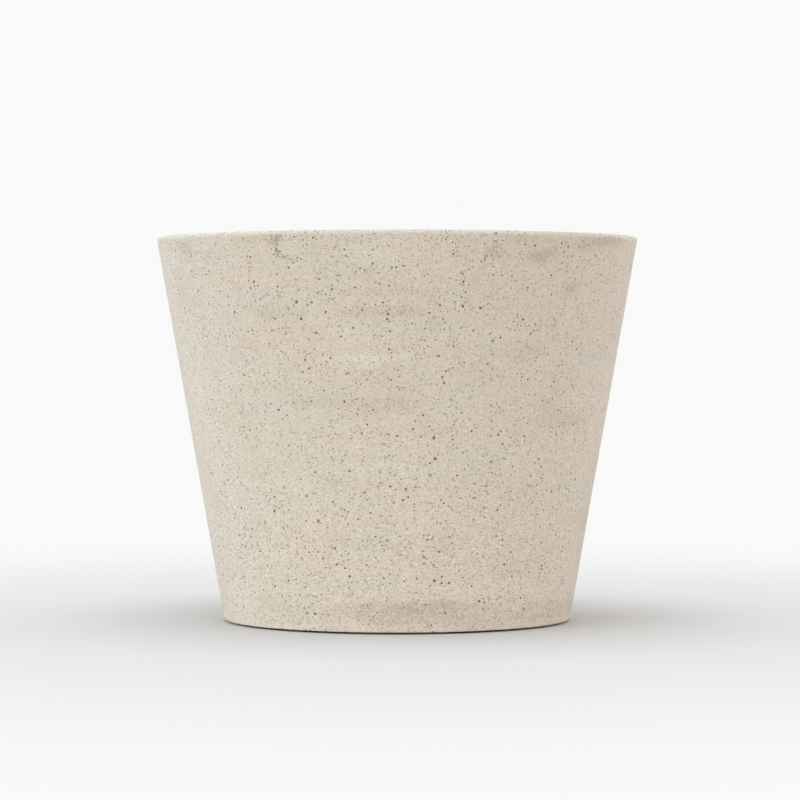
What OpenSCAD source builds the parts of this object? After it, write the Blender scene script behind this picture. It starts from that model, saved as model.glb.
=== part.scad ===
// Bucket planter: a tapered pot cast in fibre concrete, its rubber drain plug and its foot pads.
// Millimetres, +Z up. The origin is the middle of the surface that the planter stands on, and the
// front faces -Y. Every piece is a turned one: a list of corners, each with its own radius, is
// drawn as half a section and then spun about the piece's axis.

/* [Pot] */
// Outside diameter at the rim, measured before the lip's edge is rounded
rim_d = 500; // [440:5:600]
// Outside diameter at the base, measured before its edge is rounded
base_d = 360; // [300:5:400]
// Height of the casting, without its foot pads
pot_h = 396; // [300:1:500]
// Thickness of the wall, square to its face
wall_t = 12; // [9:0.5:20]
// Thickness of the floor above the hollow underside
floor_t = 18; // [16:1:30]
// Radius that joins the floor to the wall, inside
floor_fillet_r = 25; // [10:1:40]
// Radius of the base's outside edge
base_edge_r = 2; // [1:0.5:8]

/* [Lip] */
// Depth to which the mouth is straight, below the rim, so that the wall thickens into a lip
lip_h = 50; // [20:1:80]
// Radius of the lip's outside edge
lip_edge_r = 2.5; // [1:0.5:6]
// Radius of the lip's inside edge
mouth_edge_r = 6; // [2:0.5:8]

/* [Underside] */
// Width of the foot ring, from the base's outside edge to the hollow
foot_ring_w = 46; // [44:1:60]
// Depth of the hollow inside the foot ring
hollow_h = 8; // [6:1:14]
// Draft of the hollow's side, in degrees
hollow_draft = 20; // [8:1:30]
// Radius of the foot ring's inside edge
foot_edge_r = 3; // [1:0.5:4]
// Radius that joins the hollow's side to its roof
hollow_fillet_r = 5; // [2:0.5:6]

/* [Drain plug] */
// Diameter of the flange, which lies in a seat in the floor
flange_d = 46; // [42:1:60]
// Thickness of the flange, and so the depth of its seat
flange_t = 4; // [3:0.5:6]
// Diameter of the shank where it meets the flange
shank_d = 30; // [26:0.5:34]
// Draft of the shank and of the drain hole, in degrees
shank_draft = 3; // [1:0.5:5]
// Length of shank that shows under the floor
shank_tip = 2; // [1:0.5:3]
// Number of sealing ribs round the shank
ribs = 3; // [2:1:4]
// Height of a sealing rib
rib_h = 1; // [0.6:0.1:1.3]
// Thickness of the rubber round the hollow in the shank, and above it
shank_wall = 5; // [4:0.5:7]
// Diameter of the knob that the plug is pulled by
knob_d = 20; // [18:1:26]
// Thickness of the knob's head
knob_t = 6; // [5.5:0.5:9]
// Diameter of the knob's neck
neck_d = 9; // [7:0.5:10]
// Height of the neck, from the flange to the head
neck_h = 6; // [5:0.5:9]
// Radius of the knob's edges
knob_edge_r = 2.5; // [1:0.5:2.5]
// Radius at each end of the neck
neck_fillet_r = 1.5; // [0.5:0.5:2]
// Radius of the edges of the flange and of the shank's end
plug_edge_r = 1; // [0.5:0.25:1.5]

/* [Foot pads] */
// Diameter of a foot pad
pad_d = 28; // [20:1:30]
// Thickness of a foot pad
pad_t = 2; // [1.5:0.5:4]
// Radius of a foot pad's lower edge
pad_edge_r = 0.8; // [0.4:0.1:1.2]

/* [Fits] */
// Clearance between the flange and the side of its seat
flange_gap = 0.5; // [0.3:0.1:1]
// Clearance between a sealing rib and the drain hole
rib_gap = 0.1; // [0.05:0.05:0.3]

/* [Hidden] */
$fn = 128;
arc_step = 10; // the most degrees between two points of a rounded corner
concrete = [0.83, 0.79, 0.72];
plug_rubber = [0.08, 0.08, 0.08];
pad_rubber = [0.16, 0.15, 0.14];

// Levels above the surface that the planter stands on
foot_z = pad_t;
hollow_z = foot_z + hollow_h;
floor_z = hollow_z + floor_t;
seat_z = floor_z - flange_t;
rim_z = foot_z + pot_h;
knee_z = rim_z - lip_h; // where the tapered inside turns into the straight mouth

// The wall, as a radius at each level
rim_r = rim_d / 2;
base_r = base_d / 2;
wall_draft = atan((rim_r - base_r) / pot_h);
function outer_r(z) = base_r + (z - foot_z) * tan(wall_draft);
function inner_r(z) = outer_r(z) - wall_t / cos(wall_draft);
mouth_r = inner_r(knee_z);

// The foot ring, and the middle of the flat on it that the pads are stuck to
ring_r = base_r - foot_ring_w;
hollow_r = ring_r - hollow_h * tan(hollow_draft);
pad_ring_r = (base_r - base_edge_r + ring_r + foot_edge_r) / 2;

// The plug's shank, and the hole that its ribs seal against
shank_end_z = hollow_z - shank_tip;
core_z = floor_z - shank_wall;
function shank_r(z) = shank_d / 2 - (seat_z - z) * tan(shank_draft);
function drain_r(z) = shank_r(z) + rib_h + rib_gap;

function unit(v) = v / norm(v);
function turned(v, a) = [v.x * cos(a) - v.y * sin(a), v.x * sin(a) + v.y * cos(a)];

// The points of the arc that rounds corner c, which is [radius from the axis, level, corner radius],
// between the corners before and after it
function rounded(before, c, after) =
    let (
        p = [c.x, c.y],
        to_before = unit([before.x, before.y] - p),
        to_after = unit([after.x, after.y] - p),
        half_angle = acos(to_before * to_after) / 2,
        centre = p + unit(to_before + to_after) * c.z / sin(half_angle),
        first = p + to_before * c.z / tan(half_angle) - centre,
        turn = sign(cross(to_after, to_before)) * (180 - 2 * half_angle),
        steps = ceil(abs(turn) / arc_step)
    )
    [for (i = [0:steps]) centre + turned(first, turn * i / steps)];

// Half a section, from its corners in anticlockwise order. A corner radius of 0 leaves it sharp.
module section(corners) {
    count = len(corners);
    polygon([
        for (i = [0:count - 1])
            let (c = corners[i])
            each c.z == 0 ? [[c.x, c.y]]
                : rounded(corners[(i + count - 1) % count], c, corners[(i + 1) % count])
    ]);
}

module cast_pot() {
    seat_r = flange_d / 2 + flange_gap;
    color(concrete)
        rotate_extrude()
            section([
                [drain_r(hollow_z), hollow_z, 0],
                [hollow_r, hollow_z, hollow_fillet_r],
                [ring_r, foot_z, foot_edge_r],
                [base_r, foot_z, base_edge_r],
                [rim_r, rim_z, lip_edge_r],
                [mouth_r, rim_z, mouth_edge_r],
                [mouth_r, knee_z, 0],
                [inner_r(floor_z), floor_z, floor_fillet_r],
                [seat_r, floor_z, 0],
                [seat_r, seat_z, 0],
                [drain_r(seat_z), seat_z, 0],
            ]);
}

// A flanged bung, hollow from below so that it gives as it is pressed in, with a knob to pull it by
module drain_plug() {
    rib_step = (seat_z - hollow_z) / (ribs + 1);
    core_r = shank_r(shank_end_z) - shank_wall;
    knob_z = floor_z + neck_h;
    color(plug_rubber)
        rotate_extrude() {
            section([
                [0, core_z, 0],
                [core_r, core_z, 0],
                [core_r, shank_end_z, 0],
                [shank_r(shank_end_z), shank_end_z, plug_edge_r],
                [shank_r(seat_z), seat_z, 0],
                [flange_d / 2, seat_z, 0],
                [flange_d / 2, floor_z, plug_edge_r],
                [neck_d / 2, floor_z, neck_fillet_r],
                [neck_d / 2, knob_z, neck_fillet_r],
                [knob_d / 2, knob_z, knob_edge_r],
                [knob_d / 2, knob_z + knob_t, knob_edge_r],
                [0, knob_z + knob_t, 0],
            ]);
            for (i = [1:ribs]) {
                z = seat_z - i * rib_step;
                translate([shank_r(z), z])
                    circle(rib_h);
            }
        }
}

// One foot pad, stuck flat under the foot ring at an angle round it from +X
module foot_pad(angle) {
    color(pad_rubber)
        rotate(angle)
            translate([pad_ring_r, 0, 0])
                rotate_extrude()
                    section([
                        [0, 0, 0],
                        [pad_d / 2, 0, pad_edge_r],
                        [pad_d / 2, pad_t, 0],
                        [0, pad_t, 0],
                    ]);
}

cast_pot();
drain_plug();
foot_pad(225);  // foot_pad_front_left
foot_pad(315);  // foot_pad_front_right
foot_pad(135);  // foot_pad_back_left
foot_pad(45);  // foot_pad_back_right
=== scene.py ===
import math
import random

import bpy
import numpy as np
from mathutils import Matrix, Vector


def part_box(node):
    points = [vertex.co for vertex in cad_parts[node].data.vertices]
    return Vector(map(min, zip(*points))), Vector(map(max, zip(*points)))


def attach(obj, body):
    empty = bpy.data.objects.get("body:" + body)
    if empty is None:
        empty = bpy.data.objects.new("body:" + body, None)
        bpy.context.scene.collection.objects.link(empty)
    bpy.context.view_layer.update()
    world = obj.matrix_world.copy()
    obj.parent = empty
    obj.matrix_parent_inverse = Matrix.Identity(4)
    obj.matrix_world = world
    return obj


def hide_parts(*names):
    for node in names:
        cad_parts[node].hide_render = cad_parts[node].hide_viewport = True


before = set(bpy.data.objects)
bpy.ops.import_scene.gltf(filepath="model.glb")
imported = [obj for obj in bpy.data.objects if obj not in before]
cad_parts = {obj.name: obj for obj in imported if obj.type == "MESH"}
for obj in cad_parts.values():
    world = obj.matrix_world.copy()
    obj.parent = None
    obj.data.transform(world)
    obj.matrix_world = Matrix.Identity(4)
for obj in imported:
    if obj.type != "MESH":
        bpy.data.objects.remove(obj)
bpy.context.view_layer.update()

# The camera
# It looks across at the planter from the front, level with the upper half of its wall and tilted
# down by less than a degree, from so far that the rim shows as a shallow arc.
CAMERA_DISTANCE = 3.362
CAMERA_HEIGHT = 0.280
CAMERA_TILT = math.radians(0.863)
CAMERA_TURN = math.radians(0.052)
LENS = 145.1
SENSOR = 36
bpy.ops.object.select_all(action="DESELECT")
bpy.ops.object.camera_add(
    location=(0, -CAMERA_DISTANCE, CAMERA_HEIGHT),
    rotation=(math.pi / 2 - CAMERA_TILT, 0, -CAMERA_TURN),
)
camera = bpy.context.object
camera.name = "camera"
camera.data.lens = LENS
camera.data.sensor_width = SENSOR
bpy.context.scene.camera = camera

# The cast pot
# One thin-walled casting in fibre concrete: a tapered wall that thickens to a lip, a floor with the
# plug's seat and the drain hole, and a foot ring round a shallow hollow. It is cast mouth down in a
# mould and washed, which opens the air bubbles in its face into small pits.
POT_SIDES = 224
RIM_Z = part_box("cast_pot")[1].z
FOOT_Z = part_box("cast_pot")[0].z
RIM_RADIUS = 0.250
BASE_RADIUS = 0.180
WALL = 0.012
SLOPE = (RIM_RADIUS - BASE_RADIUS) / (RIM_Z - FOOT_Z)
DRAFT = math.atan(SLOPE)
MOUTH_RADIUS = 0.22898
KNEE_Z = 0.348
FLOOR_Z = 0.028
SEAT_Z = 0.024
HOLLOW_Z = 0.010
SEAT_RADIUS = 0.0235
DRAIN_TOP_RADIUS = 0.0161
DRAIN_FOOT_RADIUS = 0.01537
RING_RADIUS = 0.134
HOLLOW_RADIUS = 0.13109

# How round the edges are. The bands of wall and floor stop clear of the fillet between them.
LIP_EDGE = 0.0025
MOUTH_EDGE = 0.006
BASE_EDGE = 0.002
FLOOR_FILLET = 0.025
FILLET_REACH = 0.024
RING_EDGE = 0.003
HOLLOW_EDGE = 0.005


def outer_radius(level):
    return BASE_RADIUS + (level - FOOT_Z) * SLOPE


def inner_radius(level):
    return outer_radius(level) - WALL / math.cos(DRAFT)


def show_only(piece):
    """Selects one piece and makes it active, with everything else deselected."""
    bpy.ops.object.select_all(action="DESELECT")
    piece.select_set(True)
    bpy.context.view_layer.objects.active = piece


def draw_section(name, corners):
    """Extrudes one ring from corner to corner round a closed section. A corner is its radius, its
    level and the number of bands that lead to the next corner."""
    radius, level, bands = corners[0]
    bpy.ops.object.select_all(action="DESELECT")
    bpy.ops.mesh.primitive_circle_add(vertices=POT_SIDES, radius=radius, location=(0, 0, level))
    piece = bpy.context.object
    piece.name = name
    bpy.ops.object.mode_set(mode="EDIT")
    bpy.ops.mesh.select_all(action="SELECT")
    for next_radius, next_level, next_bands in corners[1:] + corners[:1]:
        wide = [radius + (next_radius - radius) * i / bands for i in range(bands + 1)]
        high = [level + (next_level - level) * i / bands for i in range(bands + 1)]
        for i in range(bands):
            rise = high[i + 1] - high[i]
            growth = wide[i + 1] / wide[i]
            bpy.ops.mesh.extrude_region_move(TRANSFORM_OT_translate={"value": (0, 0, rise)})
            bpy.ops.transform.resize(value=(growth, growth, 1), center_override=(0, 0, high[i + 1]))
        radius, level, bands = next_radius, next_level, next_bands
    bpy.ops.mesh.select_all(action="SELECT")
    bpy.ops.mesh.remove_doubles(threshold=1e-6)
    bpy.ops.mesh.normals_make_consistent(inside=False)
    bpy.ops.object.mode_set(mode="OBJECT")
    bpy.ops.object.transform_apply(location=True)
    return piece


def round_ring(piece, radius, level, roundness, corner_angle, segments):
    """Rounds the edge that runs round the piece at one radius and level."""
    show_only(piece)
    bpy.ops.object.mode_set(mode="EDIT")
    bpy.ops.mesh.select_mode(type="EDGE")
    bpy.ops.mesh.select_all(action="DESELECT")
    bpy.ops.object.mode_set(mode="OBJECT")
    near = 2e-5
    on_ring = [
        abs(math.hypot(p.co.x, p.co.y) - radius) < near and abs(p.co.z - level) < near
        for p in piece.data.vertices
    ]
    for edge in piece.data.edges:
        edge.select = on_ring[edge.vertices[0]] and on_ring[edge.vertices[1]]
    setback = roundness / math.tan(corner_angle / 2)
    bpy.ops.object.mode_set(mode="EDIT")
    bpy.ops.mesh.bevel(offset=setback, segments=segments, affect="EDGES", clamp_overlap=False)
    bpy.ops.object.mode_set(mode="OBJECT")


pot = draw_section("pot_casting", [
    (DRAIN_TOP_RADIUS, SEAT_Z, 2),
    (DRAIN_FOOT_RADIUS, HOLLOW_Z, 3),
    (HOLLOW_RADIUS, HOLLOW_Z, 1),
    (RING_RADIUS, FOOT_Z, 3),
    (BASE_RADIUS, FOOT_Z, 24),
    (RIM_RADIUS, RIM_Z, 1),
    (MOUTH_RADIUS, RIM_Z, 4),
    (MOUTH_RADIUS, KNEE_Z, 16),
    (inner_radius(FLOOR_Z + FILLET_REACH), FLOOR_Z + FILLET_REACH, 1),
    (inner_radius(FLOOR_Z), FLOOR_Z, 1),
    (inner_radius(FLOOR_Z) - FILLET_REACH, FLOOR_Z, 5),
    (SEAT_RADIUS, FLOOR_Z, 1),
    (SEAT_RADIUS, SEAT_Z, 1),
])
SQUARE = math.pi / 2
HOLLOW_CORNER = math.radians(110)
round_ring(pot, RIM_RADIUS, RIM_Z, LIP_EDGE, SQUARE - DRAFT, 5)
round_ring(pot, MOUTH_RADIUS, RIM_Z, MOUTH_EDGE, SQUARE, 5)
round_ring(pot, BASE_RADIUS, FOOT_Z, BASE_EDGE, SQUARE + DRAFT, 4)
round_ring(pot, inner_radius(FLOOR_Z), FLOOR_Z, FLOOR_FILLET, SQUARE + DRAFT, 7)
round_ring(pot, RING_RADIUS, FOOT_Z, RING_EDGE, HOLLOW_CORNER, 3)
round_ring(pot, HOLLOW_RADIUS, HOLLOW_Z, HOLLOW_EDGE, HOLLOW_CORNER, 3)

# The half section before the pits, for telling later how deep a point lies under the face
half_section = [
    [(math.hypot(p.x, p.y), p.z) for p in ends]
    for ends in ([pot.data.vertices[i].co for i in edge.vertices] for edge in pot.data.edges)
    if all(abs(p.y) < 1e-6 and p.x > 0 for p in ends)
]

# The pits are cut by lumpy grains: six-sided ones that end in a point for the smallest pits, and
# rounder ones for the others
chance = random.Random(1958)


def lumpy(grain, lumpiness):
    """Moves each point of a grain in or out by chance, by a share of its distance."""
    for point in grain.data.vertices:
        point.co *= 1 + chance.uniform(-lumpiness, lumpiness)
    return grain


def pointed_grain():
    bpy.ops.object.select_all(action="DESELECT")
    bpy.ops.mesh.primitive_cone_add(vertices=6, radius1=0, radius2=1.5, depth=1.2, location=(0, 0, -0.4))
    bpy.ops.object.transform_apply(location=True)
    return lumpy(bpy.context.object, 0.16)


def round_grain(subdivisions):
    bpy.ops.object.select_all(action="DESELECT")
    bpy.ops.mesh.primitive_ico_sphere_add(subdivisions=subdivisions, radius=1)
    return lumpy(bpy.context.object, 0.15)


MIDDLE_PIT = 0.0016
LARGE_PIT = 0.0022
GRAIN_LIFT = 0.2
small_grains = [pointed_grain() for _ in range(6)]
middle_grains = [round_grain(1) for _ in range(4)]
large_grains = [round_grain(2) for _ in range(6)]
cutters = []

# Where the pits are. The rows that aren't used yet lie far off.
MOST_PITS = 6500
taken = np.full((MOST_PITS, 3), 9.0)


def sink_pit(place, outward, width, length, depth, lean):
    """Leaves a copy of a grain half sunk in the face, its long side turned from level by lean."""
    if width > LARGE_PIT:
        grains = large_grains
    elif width > MIDDLE_PIT:
        grains = middle_grains
    else:
        grains = small_grains
    grain = chance.choice(grains)
    across = Vector((-place.y, place.x, 0)).normalized()
    up = outward.cross(across)
    along = across * math.cos(lean) + up * math.sin(lean)
    beside = outward.cross(along)
    turned = Matrix((along * length / 2, beside * width / 2, outward * depth)).transposed()
    cutter = grain.copy()
    cutter.data = grain.data.copy()
    own_turn = Matrix.Rotation(chance.uniform(0, 2 * math.pi), 3, "Z")
    moved = Matrix.Translation(place + outward * depth * GRAIN_LIFT)
    cutter.matrix_world = moved @ (turned @ own_turn).to_4x4()
    bpy.context.collection.objects.link(cutter)
    taken[len(cutters)] = place
    cutters.append(cutter)


def is_free(place, gap):
    """True if no pit is nearer than gap."""
    return np.abs(taken - place).max(axis=1).min() > gap


def facing(angle):
    """The way out from the axis. Angle 0 is the front, and it grows to the viewer's right."""
    return Vector((math.sin(angle), -math.cos(angle), 0))


def on_wall(angle, level):
    """A point of the outside wall and the way that it faces."""
    place = facing(angle) * outer_radius(level) + Vector((0, 0, level))
    return place, (facing(angle) - Vector((0, 0, SLOPE))).normalized()


VIEW_SIZE = 800


def wall_under(column, row):
    """Angle and level of the wall at a place in the square view from the camera."""
    image_scale = VIEW_SIZE * LENS / SENSOR
    across, up = column - VIEW_SIZE / 2, VIEW_SIZE / 2 - row
    ray = Vector((across / image_scale, up / image_scale, -1))
    ray.rotate(camera.rotation_euler)
    start = camera.location
    level = start.z

    # Each round meets an upright cylinder as wide as the wall at the level found so far
    for _ in range(12):
        radius = outer_radius(level)
        a = ray.x ** 2 + ray.y ** 2
        b = start.x * ray.x + start.y * ray.y
        c = start.x ** 2 + start.y ** 2 - radius ** 2
        reach = (-b - math.sqrt(b * b - a * c)) / a
        level = start.z + reach * ray.z
    hit = start + ray * reach
    return math.atan2(hit.x, -hit.y), level


DEEPEST_PIT = 0.00075
DEEPEST_LARGE_PIT = 0.0006


def sink_round_pit(place, outward, width):
    """Sinks a bubble's pit, a little longer than wide, and most often leaning to the right."""
    stretch = 1 + min(chance.expovariate(6), 0.8)
    lean = chance.gauss(math.radians(40), math.radians(35))
    deepest = DEEPEST_PIT if width < LARGE_PIT else DEEPEST_LARGE_PIT
    depth = min(width * chance.uniform(0.45, 0.65), deepest)
    sink_pit(place, outward, width, width * stretch, depth, lean)


# The largest pits of the front, where the photograph has them: column, row, width in millimetres
LARGE_PITS = [
    (434, 438, 3.5), (435, 459, 3.3), (296.5, 302, 3.7), (301, 319, 3.3), (325.5, 312, 2.8),
    (353, 328, 2.7), (463, 306, 2.7), (403, 500, 2.9), (434, 581, 3.2), (449, 583, 3.0),
    (274, 511, 3.0), (307, 496, 2.6), (315, 614, 3.0), (194, 316, 2.1),
    (234, 312, 2.5), (316, 333, 2.4), (305, 360, 2.5), (388, 314, 3.1),
    (207, 336, 1.8), (346, 374, 1.9), (227, 262, 1.9), (303, 246, 1.8), (391, 380, 1.9), (254, 392, 1.9),
    (443, 319, 2.0), (473, 331, 2.0), (502, 275, 2.0), (534, 331, 1.9), (490, 334, 2.0), (581, 363, 2.0),
    (566, 342, 1.8), (605, 282, 1.9), (403, 266, 1.9), (488, 364, 2.0), (482, 371, 1.9), (424, 349, 1.8),
    (436, 340, 1.8), (522, 377, 1.9), (437, 385, 1.9), (398, 370, 1.8), (500, 257, 1.8), (529, 395, 1.8),
    (306, 402, 2.0), (220, 429, 2.3), (220, 412, 1.9), (306, 521, 2.0), (241, 508, 2.8), (252, 529, 2.5),
    (401, 479, 1.9), (403, 483, 1.7), (381, 516, 1.9), (349, 502, 1.8), (337, 540, 2.0), (318, 552, 2.0),
    (282, 548, 1.9), (230, 560, 2.0), (268, 574, 1.9), (349, 588, 2.1), (352, 582, 1.9), (364, 457, 1.8),
    (421, 437, 2.0), (427, 540, 2.1), (476, 474, 2.0), (464, 477, 1.8), (504, 458, 1.8), (531, 486, 1.9),
    (446, 414, 1.8), (411, 548, 2.0), (445, 566, 1.9), (459, 564, 1.9), (507, 571, 1.9), (514, 600, 1.9),
    (452, 543, 1.8), (553, 547, 1.8), (473, 520, 1.8), (284, 472, 1.8), (278, 594, 2.0), (333, 449, 1.8),
    (297, 261, 1.7), (301, 259, 1.7), (303, 240, 1.7), (262, 315, 1.8), (283, 328, 1.8), (283, 315, 1.6),
]
for column, row, width in LARGE_PITS:
    sink_round_pit(*on_wall(*wall_under(column, row)), width / 1000)

# A scrape runs down from the rim, left of the middle: short gouges that follow its curve, wide and
# dense at the rim and single at its end. Each step is its column, row, spread in the view, number of
# gouges and their fall to the right in degrees.
SCRAPE = [
    (277, 238, 3.4, 14, 10), (274, 243, 2.8, 8, 30), (275, 249, 2.2, 6, 48),
    (279, 254, 2.0, 6, 42), (285, 258, 2.0, 6, 28), (291, 260, 1.2, 3, 12),
]
GOUGE_WIDTH = 0.0010
GOUGE_DEPTH = 0.0004
GOUGE_GAP = 0.0017
ROUNDED_LIP = 0.0026
for column, row, spread, count, fall in SCRAPE:
    for _ in range(count):
        across, down = column + chance.gauss(0, spread), row + chance.gauss(0, spread * 0.8)
        place, outward = on_wall(*wall_under(across, down))
        if place.z < RIM_Z - ROUNDED_LIP and is_free(place, GOUGE_GAP):
            lean = -math.radians(fall + chance.gauss(0, 12))
            length = chance.uniform(0.0030, 0.0056)
            sink_pit(place, outward, GOUGE_WIDTH, length, GOUGE_DEPTH, lean)

# Bubbles all round the wall, single or in swarms, closest together low down and sparse half way up
WALL_PITS = 4700
SMALLEST_PIT = 0.00115
WALL_LOW = FOOT_Z + 0.005
WALL_HIGH = RIM_Z - 0.0045
SPARSEST_LEVEL = 0.24
PIT_GAP = 0.0012


def room_for(width):
    """How far a round pit keeps from the middle of the next one."""
    return PIT_GAP + width * 0.8


while len(cutters) < WALL_PITS:
    angle = chance.uniform(-math.pi, math.pi)
    level = RIM_Z - (RIM_Z - FOOT_Z) * chance.random() ** 0.93
    crowded = 0.6 + 0.28 * ((level - SPARSEST_LEVEL) / 0.15) ** 2
    swarm = 1 if chance.random() < 0.72 else chance.randint(2, 5)
    for _ in range(swarm if chance.random() < crowded else 0):
        width = SMALLEST_PIT + min(chance.expovariate(1 / 0.0005), 0.0014)
        place, outward = on_wall(angle, level)
        if WALL_LOW < level < WALL_HIGH and is_free(place, room_for(width)):
            sink_round_pit(place, outward, width)
        angle += chance.gauss(0, 0.007) / outer_radius(level)
        level += chance.gauss(0, 0.006)


def sink_at_random(count, low, high, low_level, high_level, outward_share, smallest, spread):
    """Sinks pits between two radii and two levels. The pair outward_share tells which way the face
    looks there: how far away from the axis, and how far up."""
    for _ in range(count):
        angle = chance.uniform(-math.pi, math.pi)
        share = chance.random()
        radius = low + (high - low) * share
        place = facing(angle) * radius + Vector((0, 0, low_level + (high_level - low_level) * share))
        outward = (facing(angle) * outward_share[0] + Vector((0, 0, outward_share[1]))).normalized()
        width = smallest + min(chance.expovariate(1 / spread), 0.0016)
        if is_free(place, room_for(width)):
            sink_round_pit(place, outward, width)


# Chips along the edges of the lip and the base, then pits on the lip, inside and underneath
sink_at_random(36, 0.2489, 0.2489, RIM_Z - 0.0008, RIM_Z - 0.0008, (1, 1), 0.0010, 0.0004)
sink_at_random(60, 0.1795, 0.1795, FOOT_Z + 0.0006, FOOT_Z + 0.0006, (1, -1), 0.0010, 0.0004)
sink_at_random(50, 0.2308, 0.2308, RIM_Z - 0.0018, RIM_Z - 0.0018, (-1, 1), 0.0011, 0.0005)
sink_at_random(150, 0.2370, 0.2450, RIM_Z, RIM_Z, (0, 1), 0.0010, 0.0004)
sink_at_random(170, MOUTH_RADIUS, MOUTH_RADIUS, KNEE_Z, RIM_Z - 0.009, (-1, 0), 0.0011, 0.0005)
sink_at_random(170, inner_radius(0.06), inner_radius(KNEE_Z), 0.06, KNEE_Z, (-1, SLOPE), 0.0013, 0.0006)
sink_at_random(60, 0.03, 0.13, FLOOR_Z, FLOOR_Z, (0, 1), 0.0013, 0.0006)
sink_at_random(70, 0.03, 0.12, HOLLOW_Z, HOLLOW_Z, (0, -1), 0.0013, 0.0006)
sink_at_random(90, 0.140, 0.174, FOOT_Z, FOOT_Z, (0, -1), 0.0012, 0.0005)

for grain in small_grains + middle_grains + large_grains:
    bpy.data.objects.remove(grain)
show_only(cutters[0])
for cutter in cutters:
    cutter.select_set(True)
bpy.ops.object.join()
cutter = bpy.context.object
bpy.ops.object.transform_apply(location=True, rotation=True, scale=True)
show_only(pot)
pits = pot.modifiers.new("pits", "BOOLEAN")
pits.operation = "DIFFERENCE"
pits.solver = "MANIFOLD"
pits.object = cutter
bpy.ops.object.modifier_apply(modifier="pits")
bpy.data.objects.remove(cutter)

# How far each point lies under the face, in millimetres, for the material to read
points = np.array([p.co for p in pot.data.vertices])
half_plane = np.stack([np.hypot(points[:, 0], points[:, 1]), points[:, 2]], 1)
depth = np.full(len(points), 1.0)
for start, end in half_section:
    start, along = np.array(start), np.array(end) - np.array(start)
    share = np.clip((half_plane - start) @ along / (along @ along), 0, 1)
    depth = np.minimum(depth, np.linalg.norm(half_plane - start - share[:, None] * along, axis=1))
pit_depth = pot.data.attributes.new("pit_depth", "FLOAT", "POINT")
pit_depth.data.foreach_set("value", (depth * 1000).astype(np.float32))

# Wall and rim aren't true: the wall wanders inwards and the rim sinks, both by parts of a
# millimetre. The rim is fullest on the right.
MOST_WANDER = 0.0005
MOST_SLUMP = 0.0002
turn = np.arctan2(points[:, 1], points[:, 0])
height = points[:, 2]
wander, slump = np.zeros(len(points)), np.zeros(len(points))
for order in range(2, 15):
    size, phase, tilt = 1 / order ** 0.5, chance.uniform(0, 6.3), chance.uniform(-40, 40)
    wander += size * np.cos(order * turn + tilt * height + phase)
for order in range(3, 70, 2):
    size, phase = 1 / order ** 0.6, chance.uniform(0, 6.3)
    slump += size * np.cos(order * turn + phase)
above_floor = np.clip((height - 0.04) / 0.10, 0, 1)
near_rim = np.clip((height - 0.36) / (RIM_Z - 0.36), 0, 1) ** 2
full = near_rim * np.exp(-(turn / math.radians(35)) ** 2)
wander = (wander.max() - wander) / np.ptp(wander) * MOST_WANDER * above_floor * (1 - full)
slump = (slump.max() - slump) / np.ptp(slump) * MOST_SLUMP * (1 - full) * near_rim
points[:, 0] -= wander * np.cos(turn)
points[:, 1] -= wander * np.sin(turn)
points[:, 2] -= slump
pot.data.vertices.foreach_set("co", points.astype(np.float32).ravel())
pot.data.update()
show_only(pot)
bpy.ops.object.shade_smooth_by_angle(angle=math.radians(28))


class Wire:
    """A socket in a material. Sums on wires add Math nodes, and node() adds any other kind."""

    def __init__(self, tree, socket=None):
        self.tree = tree
        self.socket = socket

    def node(self, kind, settings=None, values=None, out=0):
        new = self.tree.nodes.new("ShaderNode" + kind)
        for name, value in (settings or {}).items():
            setattr(new, name, value)
        for name, value in (values or {}).items():
            if isinstance(value, Wire):
                self.tree.links.new(value.socket, new.inputs[name])
            else:
                new.inputs[name].default_value = value
        return Wire(self.tree, new.outputs[out])

    def beside(self, out):
        """Another output of the same node."""
        return Wire(self.tree, self.socket.node.outputs[out])

    def math(self, operation, *values):
        return self.node("Math", {"operation": operation}, dict(enumerate(values)))

    def __add__(self, other):
        return self.math("ADD", self, other)

    def __sub__(self, other):
        return self.math("SUBTRACT", self, other)

    def __rsub__(self, other):
        return self.math("SUBTRACT", other, self)

    def __mul__(self, other):
        return self.math("MULTIPLY", self, other)

    def __abs__(self):
        return self.math("ABSOLUTE", self)

    __radd__ = __add__
    __rmul__ = __mul__

    def ramp(self, low, high):
        """Rises smoothly from 0 at low to 1 at high, or falls where low is the greater."""
        values = {0: self, 1: low, 2: high, 3: 0.0, 4: 1.0}
        return self.node("MapRange", {"interpolation_type": "SMOOTHSTEP"}, values)

    def noise(self, scale, detail=2.0, roughness=0.5, out=0, curl=0.0):
        """A noise pattern over this place, about 0.5 on average, with scale features to the metre."""
        values = {0: self, 2: scale, 3: detail, 4: roughness, "Distortion": curl}
        return self.node("TexNoise", None, values, out)

    def vector(self, operation, other=(0, 0, 0), out=0):
        return self.node("VectorMath", {"operation": operation}, {0: self, 1: other}, out)

    def stretched(self, across, up):
        """This place with its pattern pressed together level and upright by these factors."""
        return self.vector("MULTIPLY", (across, across, up))

    def mix(self, other, share):
        """This colour with a share of another."""
        return self.node("Mix", {"data_type": "RGBA"}, {0: share, 6: self, 7: other}, 2)


def paint(red, green, blue):
    """A colour given as it looks on a screen, 0 to 255, as the shader needs it."""
    shares = [c / 255 for c in (red, green, blue)]
    linear = [s / 12.92 if s <= 0.04045 else ((s + 0.055) / 1.055) ** 2.4 for s in shares]
    return (*linear, 1)


def new_material(name):
    """A material with a single shader, and a wire to start from."""
    material = bpy.data.materials.new(name)
    material.use_nodes = True
    return material, material.node_tree.nodes["Principled BSDF"], Wire(material.node_tree)


def two_colours(share, low, high):
    """A colour between two painted ones."""
    return share.node("Mix", {"data_type": "RGBA"}, {0: share, 6: paint(*low), 7: paint(*high)}, 2)


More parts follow.
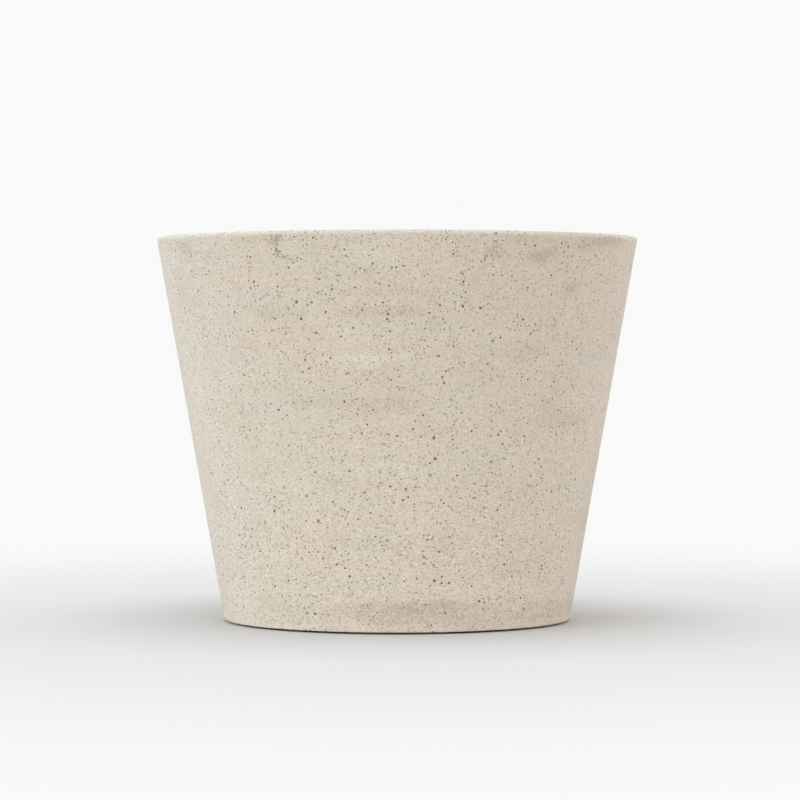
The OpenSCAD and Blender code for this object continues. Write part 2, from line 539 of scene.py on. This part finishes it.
def connect(wire, shader, name):
    wire.tree.links.new(wire.socket, shader.inputs[name])


# Where on the casting a place is: how far behind the outside face, and whether it is inside,
# underneath, low down, by the base, by the rim or on the rim's edge, where a highlight is painted
concrete, shader, start = new_material("washed_fibre_concrete")
place = start.node("TexCoord", out="Object")
level = place.node("SeparateXYZ", None, {0: place}).beside("Z")
radius = place.stretched(1, 0).vector("LENGTH", out=1)
behind_face = level * SLOPE + (BASE_RADIUS - FOOT_Z * SLOPE) - radius
on_lip = level.ramp(0.386, 0.393)
inside = (behind_face - on_lip * 0.0095).ramp(0.0095, 0.0115) * level.ramp(0.0115, 0.0125)
under = level.ramp(0.0125, 0.0105) * behind_face.ramp(0.001, 0.004)
low_down = level.ramp(0.26, 0.10)
by_base = level.ramp(0.013, 0.008)
by_rim = level.ramp(0.375, 0.397)
painted_rim_highlight = level.ramp(0.3925, 0.3958) * (behind_face.ramp(0.008, 0.003) * 0.6 + 0.4)
pit = start.node("Attribute", {"attribute_name": "pit_depth"}, out="Fac")

# Long level lenses of warmer and paler concrete, clouds across them, and the sand's own grain
bands = place.stretched(1, 6).noise(7.0, 3.0, 0.55)
clouds = place.stretched(1, 2).noise(17.0, 4.0, 0.6)
tint = place.stretched(1, 1.6).noise(38.0, 3.0, 0.6)
mottle = place.noise(95.0, 3.0, 0.6)
sand = place.stretched(1, 1.35).noise(600.0, 2.0, 0.6)
coarse = place.stretched(1, 1.4).noise(310.0, 2.0, 0.6, curl=0.8)
holes = place.noise(520.0, 0.5, 0.5, curl=0.6).ramp(0.65, 0.78)

# Soft spots of the front, where the photograph has them. Most are laid over a wavering copy of the
# places on the pot, so that their outlines wander.
STRAY = (0.05, 0.05, 0.03)
wobble = place.noise(24.0, 3.0, 0.6, 1).vector("SUBTRACT", (0.5, 0.5, 0.5))
strayed = wobble.node("VectorMath", {"operation": "MULTIPLY_ADD"}, {0: wobble, 1: STRAY, 2: place})


def spot(column, row, wide, high, share, around=strayed):
    """How much of a soft spot shows here, from its middle in the view, its half width and half
    height in millimetres, and its share at the middle. Laid around place, it is an even oval."""
    middle = on_wall(*wall_under(column, row))[0]
    away = around.vector("SUBTRACT", middle).stretched(1000 / wide, 1000 / high)
    return away.vector("LENGTH", out=1).ramp(1.0, 0.1) * share


warm_spots = sum([
    spot(262, 312, 26, 8, 0.8), spot(385, 313, 70, 11, 0.9), spot(395, 290, 75, 6, 0.6),
    spot(345, 400, 110, 9, 0.6), spot(395, 408, 50, 12, 0.7), spot(190, 256, 18, 16, 0.6),
    spot(330, 590, 60, 14, 0.5), spot(520, 565, 50, 12, 0.4), spot(365, 545, 60, 8, 0.4),
])
brown_spots = sum([
    spot(541, 257, 20, 14, 0.9), spot(574, 290, 18, 13, 0.6), spot(498, 249, 17, 10, 0.7),
    spot(525, 237, 34, 8, 0.6), spot(598, 243, 60, 11, 0.8), spot(184, 247, 26, 15, 0.7),
    spot(250, 238, 34, 9, 0.5), spot(570, 420, 68, 11, 0.5, place), spot(400, 609, 100, 12, 0.5),
    spot(480, 608, 80, 11, 0.35), spot(290, 610, 80, 10, 0.3), spot(545, 614, 40, 7, 0.3),
    spot(614, 240, 50, 10, 0.7, place),
])
# Round the scrape the colour is painted darker
darker_scrape_tone = sum([
    spot(277, 238, 9, 6, 1.0, place), spot(276, 240, 4, 2.5, 0.8, place),
    spot(274, 244, 6, 5, 0.7, place), spot(277, 251, 5, 5, 0.6, place),
    spot(283, 257, 6, 4, 0.6, place), spot(291, 260, 7, 3, 0.4, place),
])
pale_spots_and_edge_light = sum([
    spot(375, 360, 75, 8, 0.95), spot(385, 468, 60, 12, 0.8), spot(380, 254, 60, 14, 0.6),
    spot(195, 385, 26, 18, 0.8), spot(330, 345, 60, 8, 0.4), spot(504, 338, 50, 11, 0.5),
    spot(520, 450, 50, 12, 0.4), spot(290, 485, 60, 10, 0.4), spot(345, 450, 36, 9, 0.6),
    spot(396, 570, 28, 9, 0.5), spot(396, 241, 30, 9, 0.5, place), spot(341, 331, 36, 10, 0.45, place),
    spot(341, 361, 36, 10, 0.45, place), spot(509, 331, 26, 9, 0.4, place),
    # The last two, tall ovals on the left and right edges low down, are painted light that brightens the
    # lower edges
    spot(576, 565, 34, 60, 0.5, place), spot(211, 530, 30, 70, 0.4, place),
])

# The colour, built up from broad tones to spots and edges
tone = two_colours(bands.ramp(0.32, 0.68), (214, 201, 186), (211, 203, 189))
tone = tone.mix(paint(202, 188, 170), clouds.ramp(0.5, 0.72) * 0.45)
tone = tone.mix(paint(216, 200, 184), tint.ramp(0.5, 0.75) * 0.26)
tone = tone.mix(paint(207, 200, 184), tint.ramp(0.5, 0.25) * 0.3)
tone = tone.mix(paint(224, 218, 206), mottle.ramp(0.5, 0.8) * 0.32)
tone = tone.mix(paint(199, 181, 163), warm_spots * 0.55)
tone = tone.mix(paint(224, 220, 209), pale_spots_and_edge_light * 0.5)
# Painted light: the lower wall, and most of all its last few centimetres, are painted paler to stand in
# for light from below
tone = tone.mix(paint(231, 222, 207), low_down * 0.2)
tone = tone.mix(paint(238, 230, 216), level.ramp(0.060, 0.020) * 0.25)
# Darker towards the base: partly a smear on the casting, partly painted shade
tone = tone.mix(paint(185, 171, 149), level.ramp(0.046, 0.024) * (clouds.ramp(0.40, 0.62) * 0.3 + 0.1))
tone = tone.mix(paint(180, 166, 142), brown_spots * 0.6)
tone = tone.mix(paint(122, 109, 88), darker_scrape_tone * 0.42)
tone = tone.mix(paint(226, 219, 205), by_base * 0.4)
tone = tone.mix(paint(214, 205, 190), by_rim * (1 - inside) * 0.25)
# Painted highlight: the rim's edge is painted paler where the top light catches its rounding
tone = tone.mix(paint(228, 228, 217), painted_rim_highlight * 0.6)

# Inside it is as it was pressed by hand: greyer, uneven, with the ends of fibres showing
fibres = abs(place.noise(75.0, 2.0, 0.5) - 0.5).ramp(0.010, 0.003) * place.noise(30.0).ramp(0.45, 0.6)
pressed = place.noise(26.0, 4.0, 0.62)
bare = two_colours(pressed.ramp(0.35, 0.7), (190, 181, 166), (211, 202, 187))
bare = bare.mix(paint(226, 220, 207), fibres * 0.5)
unwashed = inside.math("MAXIMUM", inside, under)
tone = tone.mix(bare, unwashed)

# Dark and pale sand, painted shade and light on the coarse relief, pinholes and the depths of the cut
# pits
tone = tone.mix(paint(166, 151, 133), sand.ramp(0.53, 0.78) * (low_down * 0.2 + 0.66))
tone = tone.mix(paint(241, 236, 226), sand.ramp(0.47, 0.22) * (low_down * 0.2 + 0.66))
# Painted shade in the hollows of the coarse relief, and painted light on its ridges
tone = tone.mix(paint(164, 148, 126), coarse.ramp(0.48, 0.28) * (low_down * 0.3 + 0.06))
tone = tone.mix(paint(236, 230, 218), coarse.ramp(0.52, 0.72) * (low_down * 0.26 + 0.08))
# Pinholes and the depths of the cut pits are painted darker: partly dust and dark grit in them, partly
# painted shade
tone = tone.mix(paint(130, 115, 97), holes * 0.75)
tone = tone.mix(paint(110, 94, 76), pit.ramp(0.05, 0.28) * 0.92)
connect(tone, shader, "Base Color")
connect(sand * 0.14 + 0.8, shader, "Roughness")

# The relief, in millimetres
relief = (sand * (low_down * 0.4 + 0.6) + coarse * (low_down * 0.7 + 0.8) + mottle * 0.9
          + unwashed * (pressed * 6 + coarse * 0.9) + fibres * unwashed * 0.12 - holes * 0.8)
bump = start.node("Bump", None, {"Strength": 1.0, "Distance": 0.001, "Height": relief})
connect(bump, shader, "Normal")

# The washed face is faintly dusty, which pales it where it is seen at a slant
shader.inputs["Specular IOR Level"].default_value = 0.4
shader.inputs["Diffuse Roughness"].default_value = 0.8
shader.inputs["Sheen Weight"].default_value = 0.35
shader.inputs["Sheen Roughness"].default_value = 0.4
shader.inputs["Sheen Tint"].default_value = (1.0, 0.96, 0.9, 1)
pot.data.materials.clear()
pot.data.materials.append(concrete)
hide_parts("cast_pot")
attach(pot, "pot")

# The drain plug
# A black rubber bung, moulded in one with its flange, sealing ribs and knob. It is pressed into the
# drain hole by hand, and it is used as it comes from the mould.
rubber, shader, start = new_material("moulded_plug_rubber")
place = start.node("TexCoord", out="Object")
bloom = place.noise(60.0, 4.0, 0.6)
fine = place.noise(1500.0, 2.0, 0.5)
connect(two_colours(bloom.ramp(0.45, 0.75), (38, 38, 38), (72, 70, 67)), shader, "Base Color")
connect(bloom * 0.3 + 0.4, shader, "Roughness")
bump = start.node("Bump", None, {"Strength": 0.4, "Distance": 0.0002, "Height": fine})
connect(bump, shader, "Normal")
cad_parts["drain_plug"].material_slots[0].material = rubber

# The foot pads
# Four stick-on discs of cellular rubber under the foot ring. They are stuck to the casting by
# their own backing and hold it 2 mm clear of what it stands on.
foam, shader, start = new_material("cellular_pad_rubber")
place = start.node("TexCoord", out="Object")
cells = place.node("TexVoronoi", {"feature": "F1"}, {"Vector": place, "Scale": 1400.0})
dust = place.noise(90.0, 3.0, 0.6)
connect(two_colours(dust.ramp(0.4, 0.8), (58, 56, 54), (96, 92, 86)), shader, "Base Color")
connect(dust * 0.2 + 0.75, shader, "Roughness")
bump = start.node("Bump", None, {"Strength": 0.6, "Distance": 0.0003, "Height": cells})
connect(bump, shader, "Normal")
for corner in ("front_left", "front_right", "back_left", "back_right"):
    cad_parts["foot_pad_" + corner].material_slots[0].material = foam

# The studio
# A plain pale floor without a horizon, in an even white room. Five soft boxes stand far off: a cool
# one on the left, a warm one in front, one behind on each side and one overhead.
scene = bpy.context.scene
scene.view_settings.view_transform = "Standard"

# How bright the room looks, and how brightly it lights the planter
ROOM_WHITE = 0.95
ROOM_LIGHT = 0.84


def seen_directly(start):
    """1 for a ray that shows the room itself, from the camera or off a gloss, and 0 for one that
    only gathers its light."""
    rays = start.node("LightPath")
    return start.math("MAXIMUM", rays.beside("Is Camera Ray"), rays.beside("Is Glossy Ray"))


# Close to the planter the floor shows a shadow, and farther off it passes into the room's white
FLOOR_RADIUS = 12
bpy.ops.object.select_all(action="DESELECT")
bpy.ops.mesh.primitive_circle_add(
    vertices=96, radius=FLOOR_RADIUS, fill_type="NGON", location=(0, 0, 0)
)
floor = bpy.context.object
floor.name = "studio_floor"
paper, shader, start = new_material("floor_paper")
shader.inputs["Roughness"].default_value = 0.9
away = start.node("TexCoord", out="Object").vector("LENGTH", out=1)
seen = seen_directly(start)
paper_tone = two_colours(away.ramp(1.0, 0.4) * (1 - seen), (203, 203, 203), (243, 243, 243))
connect(paper_tone, shader, "Base Color")
glow = start.node("Emission", None, {0: (ROOM_WHITE, ROOM_WHITE, ROOM_WHITE, 1), 1: 1.0})
share = seen * (away.ramp(0.18, 0.5) * 0.4 + away.ramp(0.3, 1.4) * 0.6)
shading = Wire(start.tree, shader.outputs[0])
mixed = start.node("MixShader", None, {0: share, 1: shading, 2: glow})
start.tree.links.new(mixed.socket, start.tree.nodes["Material Output"].inputs["Surface"])
floor.data.materials.append(paper)

LIGHT_DISTANCE = 8.0
LIGHT_SIZE = 4.0
AIM_HEIGHT = 0.2


def soft_light(name, turn, lift, power, colour):
    """A square soft box that faces the pot, turned from the front and lifted from level."""
    turn, lift = math.radians(turn), math.radians(lift)
    way = facing(turn) * math.cos(lift) + Vector((0, 0, math.sin(lift)))
    aim = (-way).to_track_quat("-Z", "Y").to_euler()
    middle = way * LIGHT_DISTANCE + Vector((0, 0, AIM_HEIGHT))
    bpy.ops.object.light_add(type="AREA", location=middle, rotation=aim)
    light = bpy.context.object
    light.name = name
    light.data.size = LIGHT_SIZE
    light.data.energy = power
    light.data.color = colour


soft_light("left_light", -50, 15, 154, (0.78, 0.95, 1.0))
soft_light("front_light", 10, 15, 98, (1.0, 0.85, 0.76))
soft_light("back_left_light", -120, 5, 230, (0.91, 0.9, 1.0))
soft_light("back_right_light", 125, 8, 62, (1.0, 0.8, 0.55))
soft_light("top_light", 0, 80, 138, (1.0, 1.0, 1.0))

world = bpy.data.worlds.new("studio_room")
world.use_nodes = True
scene.world = world
seen = seen_directly(Wire(world.node_tree))
background = world.node_tree.nodes["Background"]
background.inputs["Color"].default_value = (1, 1, 1, 1)
connect(seen * (ROOM_WHITE - ROOM_LIGHT) + ROOM_LIGHT, background, "Strength")
